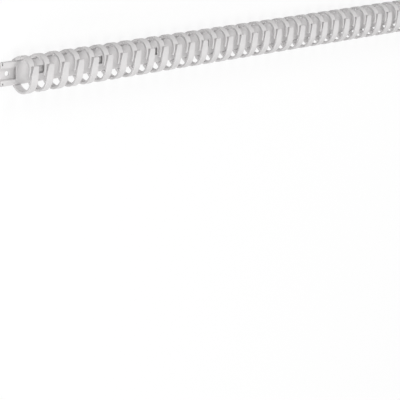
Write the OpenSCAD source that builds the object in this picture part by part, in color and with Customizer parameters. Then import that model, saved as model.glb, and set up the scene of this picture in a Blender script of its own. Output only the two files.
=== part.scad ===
// Flexible cable trunking: one moulded length of light grey plastic.
// A flat hollow back strip carries a row of open hoops. Each hoop is two fingers of
// a round wall. The lower finger comes up the front and leans to a blunt tip. The
// upper finger comes over the top and ends in a narrow blade beside the lower one.
// A cable is pressed in through the slanted slit between them, anywhere along the length.
// X runs along the length, Y across it, and the back of the strip lies on Z = 0.

/* [Length] */
// Overall length of the strip
length = 500; // [100:12.5:1000]
// Distance from one hoop to the next
pitch = 12.5; // [12:0.1:20]
// Distance from the tongue's end to the first hoop
first_hoop = 10.3; // [8:0.1:11]

/* [Hoops] */
// Outer diameter of the round hoops
hoop_d = 26; // [23:0.5:40]
// Thickness of the fingers at the front of the hoop
front_t = 1.6; // [0.8:0.1:1.8]
// Thickness of the hoop over the top and under the bottom
side_t = 1.9; // [1.8:0.1:2.6]
// How far the inside of the hoop stands out from the front edge of the strip
root_out = 0.5; // [0:0.1:0.6]

/* [Upper finger] */
// Width of the upper finger's root on the strip
upper_root_w = 7.2; // [6:0.1:8]
// Width of the upper finger over the top of the hoop
crown_w = 4.4; // [3.4:0.1:5]
// How far the upper finger leans from its root to the top of the hoop
crown_lean = 2.1; // [1.2:0.1:2.4]
// Width of the shoulder, where the blade begins
shoulder_w = 4.1; // [3:0.1:4.8]
// Height of the shoulder above the middle of the front
shoulder_y = 7.9; // [7.8:0.1:8.6]
// How far the upper finger leans back from the top of the hoop to the shoulder
shoulder_lean = 0.6; // [0:0.1:1.5]
// Width of the blade at the shoulder
blade_w = 1.2; // [0.8:0.1:1.6]
// How far the blade leans from the shoulder to its point
blade_lean = 2.5; // [1:0.1:3]
// Width of the blade's point
point_w = 0.7; // [0.4:0.1:1]
// Height of the blade's point above the middle of the front
point_y = 1.3; // [0.8:0.1:4]

/* [Lower finger] */
// Width of the lower finger's root on the strip
lower_root_w = 5.4; // [4:0.1:6]
// Lean of the lower finger at its root, from the hoop's left edge
lower_root_lean = 0.8; // [0:0.1:1.2]
// Width of the lower finger at the front
lower_w = 5.3; // [4:0.1:5.6]
// Lean of the lower finger at the middle of the front
lower_lean = 1.5; // [1:0.1:2]
// Height of the bend, above which the lower finger leans more
bend_y = 3.2; // [2:0.1:5]
// Lean of the lower finger at the bend
bend_lean = 2.0; // [1.8:0.1:3]
// Height of the tip above the middle of the front
tip_y = 7.7; // [6.5:0.1:7.7]
// Width of the tip
tip_w = 4.2; // [3:0.1:4.5]
// Lean of the lower finger at its tip
tip_lean = 4.9; // [4:0.1:5.2]
// Corner radius of the tip
tip_r = 0.9; // [0.2:0.1:1.2]

/* [Back strip] */
// Width of the back strip
strip_w = 16.4; // [14:0.1:18]
// Thickness of the back strip
strip_t = 2.8; // [2.4:0.1:4]
// Thickness of the wall behind the channel
floor_t = 0.8; // [0.6:0.1:1.2]
// Thickness of the wall in front of the channel
cover_t = 0.7; // [0.6:0.1:1.2]
// Width of the channel inside the strip
channel_w = 8.8; // [7:0.1:11]

/* [Tongue] */
// Length of the tongue, where the channel lies open
tongue_l = 12.3; // [10:0.1:16]
// Diameter of the screw hole in the tongue
screw_d = 3.4; // [2:0.1:5]
// Distance of the screw hole from the end
screw_x = 6.0; // [5:0.1:7]
// Width of the notches in the tongue's edges
notch_w = 0.9; // [0.4:0.1:1.5]
// Depth of the notches, from the edge inwards
notch_d = 2.2; // [1:0.1:2.8]
// Distance of the notches from the end
notch_x = 1.0; // [0.6:0.1:1.5]

/* [Windows] */
// Number of hoops from one window to the next
window_step = 4; // [2:1:8]
// Hoop after which the first window comes
window_first = 2; // [2:1:4]
// Length of a window
window_l = 4.8; // [3:0.1:5]
// Width of a window
window_w = 5.6; // [3:0.1:6]

/* [Hidden] */
// How far cutting shapes reach past what they cut
over = 1;
hoop_r = hoop_d / 2;
strip_y = strip_w / 2;
// The bore sits off the hoops' axis, so the wall thins from the root to the front
bore_r = sqrt(pow(hoop_r - side_t, 2) + pow(side_t - front_t, 2));
// The bore runs down to the edges of the strip, a little outside its front
bore_z = strip_t + sqrt(pow(bore_r, 2) - pow(strip_y + root_out, 2));
axis_z = bore_z + bore_r + front_t - hoop_r;
// Distance from the middle beyond which a finger's edges run straight round the wall
crown_y = hoop_r - side_t - 0.2;
left_end = -length / 2;
right_end = length / 2;
// Hoops that fit on the strip
hoop_count = floor((length - first_hoop - tip_lean - tip_w) / pitch) + 1;
// Steps of each rounded corner
corner_steps = 4;

// Left edge of a hoop
function hoop_x(i) = left_end + first_hoop + pitch * (i - 1);

// Rounded corner of radius r at b, between the straight edges from a and to c
function corner(a, b, c, r) =
    let (u = (a - b) / norm(a - b),
         v = (c - b) / norm(c - b),
         half = acos(u * v) / 2,
         middle = b + (u + v) / norm(u + v) * r / sin(half),
         start = b + u * r / tan(half) - middle,
         finish = b + v * r / tan(half) - middle,
         from = atan2(start[1], start[0]),
         turn = atan2(finish[1], finish[0]) - from,
         sweep = turn > 180 ? turn - 360 : turn < -180 ? turn + 360 : turn)
    [for (i = [0 : corner_steps])
        let (at = from + sweep * i / corner_steps)
        middle + r * [cos(at), sin(at)]];

// Upper finger behind the axis, from the strip to the top of the hoop
module upper_root_outline() {
    top = hoop_r + over;
    right = crown_lean + crown_w;
    polygon([
        [0, 0], [upper_root_w, 0], [upper_root_w, strip_y], [right, crown_y],
        [right, top], [crown_lean, top], [crown_lean, crown_y], [0, strip_y]
    ]);
}

// Upper finger in front of the axis: shoulder, step and blade
module upper_front_outline() {
    top = hoop_r + over;
    right = crown_lean + crown_w;
    shoulder = crown_lean - shoulder_lean;
    point = shoulder - blade_lean;
    polygon([
        [crown_lean, top], [crown_lean, crown_y], [shoulder, shoulder_y],
        [point, point_y], [point + point_w, point_y], [shoulder + blade_w, shoulder_y],
        [shoulder + shoulder_w, shoulder_y], [right, crown_y], [right, top]
    ]);
}

// Lower finger behind the axis, from the strip to the bottom of the hoop
module lower_root_outline() {
    translate([lower_root_lean, -hoop_r - over]) square([lower_root_w, hoop_r + over]);
}

// Lower finger in front of the axis, leaning up to its blunt tip
module lower_front_outline() {
    bottom = -hoop_r - over;
    root_left = lower_root_lean;
    root_right = lower_root_lean + lower_root_w;
    bend_left = [bend_lean, bend_y];
    bend_right = [bend_lean + lower_w, bend_y];
    tip_left = [tip_lean, tip_y];
    tip_right = [tip_lean + tip_w, tip_y];
    polygon(concat(
        [bend_right, [lower_lean + lower_w, 0], [root_right, -crown_y], [root_right, bottom],
         [root_left, bottom], [root_left, -crown_y], [lower_lean, 0], bend_left],
        corner(bend_left, tip_left, tip_right, tip_r),
        corner(tip_left, tip_right, bend_right, tip_r)
    ));
}

// Round wall along the whole length, from which the fingers are taken
module hoop_wall() {
    translate([left_end, 0, 0]) rotate([0, 90, 0]) difference() {
        translate([-axis_z, 0, 0]) cylinder(h = length, r = hoop_r, $fn = 96);
        translate([-bore_z, 0, -over]) cylinder(h = length + 2 * over, r = bore_r, $fn = 96);
    }
}

// All fingers, cut off level with the strip's back
module hoops() {
    intersection() {
        hoop_wall();
        union() {
            linear_extrude(height = axis_z) for (i = [1 : hoop_count]) translate([hoop_x(i), 0]) {
                upper_root_outline();
                lower_root_outline();
            }
            translate([0, 0, axis_z]) linear_extrude(height = hoop_r + over)
                for (i = [1 : hoop_count]) translate([hoop_x(i), 0]) {
                    upper_front_outline();
                    lower_front_outline();
                }
        }
    }
}

// Box between two corners
module block(low, high) {
    translate(low) cube(high - low);
}

// Back strip: a flat bar with a channel inside, open in front along the tongue
module back_strip() {
    channel_y = channel_w / 2;
    difference() {
        block([left_end, -strip_y, 0], [right_end, strip_y, strip_t]);
        block([left_end - over, -channel_y, floor_t], [right_end + over, channel_y, strip_t - cover_t]);
        block([left_end - over, -channel_y, floor_t], [left_end + tongue_l, channel_y, strip_t + over]);
        tongue_cuts();
        windows();
    }
}

// Screw hole and edge notches of the tongue
module tongue_cuts() {
    translate([left_end + screw_x, 0, -over]) cylinder(h = floor_t + 2 * over, d = screw_d, $fn = 48);
    for (side = [-1, 1])
        translate([left_end + notch_x, side * strip_y - notch_d, -over])
            cube([notch_w, 2 * notch_d, strip_t + 2 * over]);
}

// Windows through the front wall of the strip, each beside a hoop
module windows() {
    for (i = [window_first : window_step : hoop_count - 1])
        translate([hoop_x(i + 1) - window_l, -window_w / 2, floor_t])
            cube([window_l, window_w, strip_t]);
}

module trunking() {
    color("gainsboro") union() {
        back_strip();
        hoops();
    }
}

trunking();
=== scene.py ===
import math

import bpy
from mathutils import Matrix, Vector


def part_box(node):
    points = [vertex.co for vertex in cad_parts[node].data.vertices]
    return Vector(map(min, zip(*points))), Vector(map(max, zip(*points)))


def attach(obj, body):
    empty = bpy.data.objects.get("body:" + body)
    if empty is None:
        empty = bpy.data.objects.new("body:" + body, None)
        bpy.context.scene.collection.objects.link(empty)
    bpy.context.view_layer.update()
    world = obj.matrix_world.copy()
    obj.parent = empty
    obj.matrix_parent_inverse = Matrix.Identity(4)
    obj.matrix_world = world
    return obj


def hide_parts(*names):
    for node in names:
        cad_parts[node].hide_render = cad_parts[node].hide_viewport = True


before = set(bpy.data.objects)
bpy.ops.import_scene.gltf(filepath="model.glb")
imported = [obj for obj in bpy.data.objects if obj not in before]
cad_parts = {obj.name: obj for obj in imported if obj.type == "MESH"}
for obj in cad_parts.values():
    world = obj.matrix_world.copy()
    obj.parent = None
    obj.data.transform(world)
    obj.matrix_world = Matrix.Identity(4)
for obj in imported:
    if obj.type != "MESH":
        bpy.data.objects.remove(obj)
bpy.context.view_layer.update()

# Back strip
# The flat back of the plastic moulding: a bar with a channel inside it. At the left end the channel lies
# open as a tongue with a screw hole and two notches, and windows in the front wall open onto the channel.
MM = 0.001
PITCH = 12.5 * MM
FIRST_HOOP = 10.3 * MM
HOOPS = 39
STRIP_W, STRIP_T = 16.4 * MM, 2.8 * MM
FLOOR_T, COVER_T = 0.8 * MM, 0.7 * MM
CHANNEL_W = 8.8 * MM
TONGUE_L = 12.3 * MM
SCREW_X, SCREW_R = 6.0 * MM, 1.7 * MM
NOTCH_X, NOTCH_W, NOTCH_D = 1.0 * MM, 0.9 * MM, 2.2 * MM
WINDOW_L, WINDOW_W = 4.8 * MM, 5.6 * MM
WINDOW_FIRST, WINDOW_STEP = 2, 4
STRIP_EDGE = 0.15 * MM
OVER = 1 * MM
bpy.ops.object.select_all(action="DESELECT")


def block(low, high):
    """A box between two corners."""
    low, high = Vector(low), Vector(high)
    bpy.ops.mesh.primitive_cube_add(size=1, location=(low + high) / 2, scale=high - low)
    bpy.ops.object.transform_apply()
    return bpy.context.object


def apply_modifiers(piece):
    """Apply the modifiers of one piece, in order."""
    bpy.ops.object.select_all(action="DESELECT")
    piece.select_set(True)
    bpy.context.view_layer.objects.active = piece
    for modifier in list(piece.modifiers):
        bpy.ops.object.modifier_apply(modifier=modifier.name)


def round_edges(piece, radius, steps, angle):
    """Round every edge that is sharper than an angle."""
    bevel = piece.modifiers.new("round_edges", "BEVEL")
    bevel.width = radius
    bevel.segments = steps
    bevel.limit_method = "ANGLE"
    bevel.angle_limit = math.radians(angle)
    apply_modifiers(piece)


def repeat(piece, count, step):
    """Set copies of a piece in a row along the length."""
    row = piece.modifiers.new("row", "ARRAY")
    row.count = count
    row.use_relative_offset = False
    row.use_constant_offset = True
    row.constant_offset_displace = (step, 0, 0)
    apply_modifiers(piece)


def combine(piece, other, operation):
    """Join another shape to a piece, or cut it out of the piece."""
    modifier = piece.modifiers.new("combine", "BOOLEAN")
    modifier.operation = operation
    modifier.solver = "MANIFOLD"
    modifier.object = other
    apply_modifiers(piece)
    bpy.data.objects.remove(other)


left_end, right_end = (corner.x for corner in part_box("trunking"))
strip_y, channel_y = STRIP_W / 2, CHANNEL_W / 2
moulding = block((left_end, -strip_y, 0), (right_end, strip_y, STRIP_T))
moulding.name = "moulding"
channel = block((left_end - OVER, -channel_y, FLOOR_T), (right_end + OVER, channel_y, STRIP_T - COVER_T))
combine(moulding, channel, "DIFFERENCE")
recess = block((left_end - OVER, -channel_y, FLOOR_T), (left_end + TONGUE_L, channel_y, STRIP_T + OVER))
combine(moulding, recess, "DIFFERENCE")
notch_left = left_end + NOTCH_X
for side in (-strip_y, strip_y):
    notch = block((notch_left, side - NOTCH_D, -OVER), (notch_left + NOTCH_W, side + NOTCH_D, STRIP_T + OVER))
    combine(moulding, notch, "DIFFERENCE")
bpy.ops.mesh.primitive_cylinder_add(
    vertices=48, radius=SCREW_R, depth=STRIP_T + OVER, location=(left_end + SCREW_X, 0, FLOOR_T / 2))
combine(moulding, bpy.context.object, "DIFFERENCE")
window_right = left_end + FIRST_HOOP + PITCH * WINDOW_FIRST
window_y = WINDOW_W / 2
window = block((window_right - WINDOW_L, -window_y, FLOOR_T), (window_right, window_y, STRIP_T + OVER))
repeat(window, 1 + (HOOPS - 1 - WINDOW_FIRST) // WINDOW_STEP, WINDOW_STEP * PITCH)
combine(moulding, window, "DIFFERENCE")
round_edges(moulding, STRIP_EDGE, steps=2, angle=30)

# Hoops
# Each hoop is two fingers of a round plastic wall that thins towards the front. A finger is a plate of the
# right outline with rounded edges, wrapped round the hoop. It springs from the edge of the strip.
HOOP_R = 13 * MM
FRONT_T, SIDE_T = 1.6 * MM, 1.9 * MM
ROOT_OUT = 0.5 * MM
PLATE_T = 1.5 * MM
FINGER_EDGE = 0.25 * MM
TIP_CORNER, SHOULDER_CORNER, POINT_CORNER = 0.75 * MM, 0.6 * MM, 0.3 * MM
# angles round the hoop, in degrees from the middle of its front
ROOT_ANGLE = 141
RING_ANGLE = 4
STRAIGHT_ANGLE, ROUND_ANGLE = 40, 58
# heights on the front, and the fingers' leans and widths there, in millimetres
CROWN_Y, SHOULDER_Y, BLADE_TOP_Y, POINT_Y = 10.9, 7.9, 10, 1.3
BEND_Y, TIP_Y = 3.2, 7.7
LOWER_ROOT_LEAN, LOWER_LEAN, BEND_LEAN, TIP_LEAN = 0.8, 1.5, 2.0, 4.9
LOWER_ROOT_W, LOWER_W, TIP_W = 5.4, 5.3, 4.2
UPPER_ROOT_LEAN, CROWN_LEAN, SHOULDER_LEAN = 0, 2.1, 1.5
UPPER_ROOT_W, CROWN_W, SHOULDER_W = 7.2, 4.4, 4.1
BLADE_TOP_LEAN, BLADE_LEAN, POINT_LEAN = 2.0, 1.5, -1.0
BLADE_TOP_W, BLADE_W, POINT_W = 1.5, 1.2, 0.7
bore_r = math.hypot(HOOP_R - SIDE_T, SIDE_T - FRONT_T)
bore_z = STRIP_T + math.sqrt(bore_r ** 2 - (strip_y + ROOT_OUT) ** 2)
axis_z = bore_z + bore_r + FRONT_T - HOOP_R
mid_r = HOOP_R - PLATE_T / 2


def front(y):
    """Angle round the hoop of a height on its front."""
    return math.degrees(math.asin(y * MM / HOOP_R))


def edge_x(points, angle):
    """Where an edge runs at an angle: straight from point to point, with the bends eased."""
    ease = max(0, min(RING_ANGLE, angle - points[0][0], points[-1][0] - angle))
    total = 0
    for at in (angle - ease, angle, angle + ease):
        at = min(max(at, points[0][0]), points[-1][0])
        for (angle0, x0), (angle1, x1) in zip(points, points[1:]):
            if angle0 <= at <= angle1:
                total += x0 + (x1 - x0) * (at - angle0) / (angle1 - angle0)
                break
    return total / 3 * MM


def wrap(vertex):
    """Bend a point of a flat plate round the hoop. On the front, the plate's ends stay straight."""
    x, along, depth = vertex.co
    angle = along / mid_r
    share = depth / PLATE_T + 0.5
    off_axis = bore_z - axis_z
    inner_r = off_axis * math.cos(angle) + math.sqrt(bore_r ** 2 - (off_axis * math.sin(angle)) ** 2)
    radius = inner_r + share * (HOOP_R - inner_r)
    y, z = radius * math.sin(angle), axis_z + radius * math.cos(angle)
    bend = (abs(math.degrees(angle)) - STRAIGHT_ANGLE) / (ROUND_ANGLE - STRAIGHT_ANGLE)
    if bend < 1:
        bend = max(0, bend)
        front_y = HOOP_R * math.sin(angle)
        inner_z = bore_z + math.sqrt(bore_r ** 2 - front_y ** 2)
        front_z = inner_z + share * (axis_z + HOOP_R * math.cos(angle) - inner_z)
        y, z = front_y + bend * (y - front_y), front_z + bend * (z - front_z)
    vertex.co = left_end + FIRST_HOOP + x, y, z


def finger(outline, tip_angle, corner):
    """A finger of every hoop. Its outline lists angle, lean and width, and its tip has rounded corners."""
    left = [(angle, lean) for angle, lean, width in outline]
    right = [(angle, lean + width) for angle, lean, width in outline]
    start, stop = left[0][0], left[-1][0]
    rows = round((stop - start) / RING_ANGLE)
    bpy.ops.mesh.primitive_grid_add(x_subdivisions=1, y_subdivisions=rows, size=2)
    piece = bpy.context.object
    for vertex in piece.data.vertices:
        angle = start + (stop - start) * (vertex.co.y + 1) / 2
        vertex.co = edge_x(left if vertex.co.x < 0 else right, angle), math.radians(angle) * mid_r, 0
    wall = piece.modifiers.new("wall", "SOLIDIFY")
    wall.thickness = PLATE_T
    wall.offset = 0
    apply_modifiers(piece)
    bpy.ops.object.mode_set(mode="EDIT")
    bpy.ops.mesh.select_mode(type="EDGE")
    bpy.ops.mesh.select_all(action="DESELECT")
    bpy.ops.object.mode_set(mode="OBJECT")
    tip = math.radians(tip_angle) * mid_r
    for line in piece.data.edges:
        a, b = (piece.data.vertices[i].co for i in line.vertices)
        line.select = abs(a.z - b.z) > PLATE_T / 2 and abs(a.y - tip) < OVER / 100
    bpy.ops.object.mode_set(mode="EDIT")
    bpy.ops.mesh.bevel(offset=corner, segments=5)
    bpy.ops.object.mode_set(mode="OBJECT")
    round_edges(piece, FINGER_EDGE, steps=3, angle=50)
    for vertex in piece.data.vertices:
        wrap(vertex)
    bpy.ops.object.mode_set(mode="EDIT")
    bpy.ops.mesh.select_all(action="SELECT")
    bpy.ops.mesh.normals_make_consistent(inside=False)
    bpy.ops.mesh.bisect(
        plane_co=(0, 0, 0), plane_no=(0, 0, 1), use_fill=True, clear_inner=True, threshold=OVER / 1000)
    bpy.ops.object.mode_set(mode="OBJECT")
    repeat(piece, HOOPS, PITCH)
    combine(moulding, piece, "UNION")


# the lower finger, which leans up to a blunt tip
finger([
    (-ROOT_ANGLE, LOWER_ROOT_LEAN, LOWER_ROOT_W),
    (front(-CROWN_Y), LOWER_ROOT_LEAN, LOWER_ROOT_W),
    (0, LOWER_LEAN, LOWER_W),
    (front(BEND_Y), BEND_LEAN, LOWER_W),
    (front(TIP_Y), TIP_LEAN, TIP_W),
], tip_angle=front(TIP_Y), corner=TIP_CORNER)
# the upper finger, from its shoulder over the crown to its root
finger([
    (front(SHOULDER_Y), SHOULDER_LEAN, SHOULDER_W),
    (front(CROWN_Y), CROWN_LEAN, CROWN_W),
    (180 - front(CROWN_Y), CROWN_LEAN, CROWN_W),
    (ROOT_ANGLE, UPPER_ROOT_LEAN, UPPER_ROOT_W),
], tip_angle=front(SHOULDER_Y), corner=SHOULDER_CORNER)
# the blade in which the upper finger ends, beside the lower one
finger([
    (front(POINT_Y), POINT_LEAN, POINT_W),
    (front(SHOULDER_Y), BLADE_LEAN, BLADE_W),
    (front(BLADE_TOP_Y), BLADE_TOP_LEAN, BLADE_TOP_W),
], tip_angle=front(POINT_Y), corner=POINT_CORNER)
bpy.ops.object.shade_smooth_by_angle(angle=math.radians(35))
even = moulding.modifiers.new("even", "WEIGHTED_NORMAL")
even.keep_sharp = True
apply_modifiers(moulding)
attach(moulding, "root")
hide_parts("trunking")

# Plastic
# The whole moulding is of light grey plastic, with the fine matt grain of a spark-eroded mould. Its tone
# and gloss vary slightly from place to place.
PLASTIC = (0.66, 0.648, 0.649)
ROUGHNESS = 0.5
PLASTIC_IOR = 1.48
GRAIN_SIZE, GRAIN_DEPTH, GRAIN_STRENGTH = 0.35 * MM, 0.05 * MM, 0.3
CLOUD_SIZE, CLOUD_TONE = 25 * MM, 0.04
SPECKLE_SIZE, SPECKLE_TONE, SPECKLE_GLOSS = 1.2 * MM, 0.02, 0.1


class Shade:
    """A value in a material: adding to it or multiplying it adds Math nodes."""

    def __init__(self, tree, socket):
        self.tree = tree
        self.socket = socket

    def node(self, kind, settings=None, **inputs):
        """Add a node, set it up, fill or link its inputs, and return it."""
        made = self.tree.nodes.new(kind)
        for name, value in (settings or {}).items():
            setattr(made, name, value)
        for name, value in inputs.items():
            key = int(name[1:]) if name[1:].isdigit() else name.replace("_", " ")
            if isinstance(value, Shade):
                value = value.socket
            if isinstance(value, bpy.types.NodeSocket):
                self.tree.links.new(value, made.inputs[key])
            else:
                made.inputs[key].default_value = value
        return made

    def math(self, operation, left, right):
        made = self.node("ShaderNodeMath", {"operation": operation}, _0=left, _1=right)
        return Shade(self.tree, made.outputs[0])

    def __add__(self, other):
        return self.math("ADD", self, other)

    def __radd__(self, other):
        return self.math("ADD", other, self)

    def __mul__(self, other):
        return self.math("MULTIPLY", self, other)

    def __rmul__(self, other):
        return self.math("MULTIPLY", other, self)


plastic = bpy.data.materials.new("light_grey_plastic")
plastic.use_nodes = True
tree = plastic.node_tree
tree.nodes.clear()
place = Shade(tree, tree.nodes.new("ShaderNodeTexCoord").outputs["Object"])


def noise(size):
    """Noise from 0 to 1 with features of about that size."""
    made = place.node("ShaderNodeTexNoise", Vector=place, Scale=1 / size)
    return Shade(place.tree, made.outputs["Fac"])


grain, cloud, speckle = noise(GRAIN_SIZE), noise(CLOUD_SIZE), noise(SPECKLE_SIZE)
tone = 1 - (CLOUD_TONE + SPECKLE_TONE) / 2 + CLOUD_TONE * cloud + SPECKLE_TONE * speckle
colour = place.node("ShaderNodeVectorMath", {"operation": "SCALE"}, _0=PLASTIC, Scale=tone)
bump = place.node("ShaderNodeBump", Strength=GRAIN_STRENGTH, Distance=GRAIN_DEPTH, Height=grain)
surface = place.node(
    "ShaderNodeBsdfPrincipled",
    Base_Color=colour.outputs[0],
    Roughness=ROUGHNESS - SPECKLE_GLOSS / 2 + SPECKLE_GLOSS * speckle,
    IOR=PLASTIC_IOR,
    Normal=bump.outputs[0],
)
place.node("ShaderNodeOutputMaterial", Surface=surface.outputs[0])
moulding.data.materials.clear()
moulding.data.materials.append(plastic)

# Floor
# A wide sheet under the trunking. To the eye it is white with a faint soft shadow, and it throws back
# little light, so the insides of the hoops stay dark.
FLOOR_SIDE, FLOOR_DROP = 12, 0.05 * MM
FLOOR_GLOW = 0.85
PAPER_GREY = (0.9, 0.9, 0.9, 1)
DIM_GREY = (0.2, 0.2, 0.2, 1)
bpy.ops.mesh.primitive_plane_add(size=FLOOR_SIDE, location=(0, 0, -FLOOR_DROP))
floor = bpy.context.object
floor.name = "floor"
sheet = bpy.data.materials.new("white_sheet")
sheet.use_nodes = True
sheet.node_tree.nodes.clear()


def seen_rays(tree):
    """One for rays from the eye, straight or by way of gloss or glass, and zero for the rest."""
    ray = tree.nodes.new("ShaderNodeLightPath").outputs
    seen = Shade(tree, ray["Is Camera Ray"])
    return seen + Shade(tree, ray["Is Glossy Ray"]) + Shade(tree, ray["Is Transmission Ray"])


seen = seen_rays(sheet.node_tree)
paper = seen.node("ShaderNodeBsdfDiffuse", Color=PAPER_GREY)
glow = seen.node("ShaderNodeEmission", Strength=1.0)
white = seen.node("ShaderNodeMixShader", _0=FLOOR_GLOW, _1=paper.outputs[0], _2=glow.outputs[0])
dim = seen.node("ShaderNodeBsdfDiffuse", Color=DIM_GREY)
both = seen.node("ShaderNodeMixShader", _0=seen, _1=dim.outputs[0], _2=white.outputs[0])
seen.node("ShaderNodeOutputMaterial", Surface=both.outputs[0])
floor.data.materials.append(sheet)

# Light
# An even white studio with broad soft lamps: two low beside the tongue's end, one in front of the hoops,
# one over their tops and a weak one that fills the shadows from the other end.
AMBIENT = 0.34
LAMP_REACH = 1.5
LAMP_SIZE = 0.75
# name, direction from the trunking and power in watts
LAMPS = (
    ("lower_end_lamp", (-0.77, -0.6, 0.27), 11.6),
    ("upper_end_lamp", (-0.75, 0.6, 0.28), 5),
    ("front_lamp", (-0.15, -0.3, 0.93), 8.4),
    ("top_lamp", (0.1, 0.8, 0.6), 9.4),
    ("fill_lamp", (0.75, -0.2, 0.6), 2.6),
)
world = bpy.data.worlds.new("studio")
bpy.context.scene.world = world
world.use_nodes = True
world.node_tree.nodes.clear()
seen = seen_rays(world.node_tree)
ambient = seen.node("ShaderNodeBackground", Strength=AMBIENT)
white = seen.node("ShaderNodeBackground", Strength=1.0)
both = seen.node("ShaderNodeMixShader", _0=seen, _1=ambient.outputs[0], _2=white.outputs[0])
seen.node("ShaderNodeOutputWorld", Surface=both.outputs[0])
for name, towards, power in LAMPS:
    lamp_data = bpy.data.lights.new(name, "AREA")
    lamp_data.shape = "DISK"
    lamp_data.size = LAMP_SIZE
    lamp_data.energy = power
    lamp = bpy.data.objects.new(name, lamp_data)
    bpy.context.scene.collection.objects.link(lamp)
    towards = Vector(towards).normalized()
    lamp.location = LAMP_REACH * towards
    lamp.rotation_euler = towards.to_track_quat("Z", "Y").to_euler()

# Camera
# It stands to the left of the tongue and above it, and looks along the length with a long lens. The focal
# length and the frame's side are in pixels, and the turn, tilt and roll in degrees.
FOCAL, FRAME_SIDE = 1439.6, 400
TURN, TILT, ROLL = 41.359, 19.46, 2.628
STAND = (-0.767642, 0.249696, 0.799305)
camera_data = bpy.data.cameras.new("camera")
camera_data.sensor_width = 36
camera_data.lens = camera_data.sensor_width * FOCAL / FRAME_SIDE
camera = bpy.data.objects.new("camera", camera_data)
bpy.context.scene.collection.objects.link(camera)
turn, tilt, roll = math.radians(TURN), math.radians(TILT), math.radians(ROLL)
ahead = Vector((math.sin(turn) * math.cos(tilt), -math.sin(tilt), -math.cos(turn) * math.cos(tilt)))
right = Matrix.Rotation(-roll, 3, ahead) @ Vector((math.cos(turn), 0, math.sin(turn)))
above = right.cross(ahead)
axes = Matrix((right, above, -ahead)).transposed().to_4x4()
camera.matrix_world = Matrix.Translation(STAND) @ axes
bpy.context.scene.camera = camera
bpy.context.scene.view_settings.view_transform = "Standard"
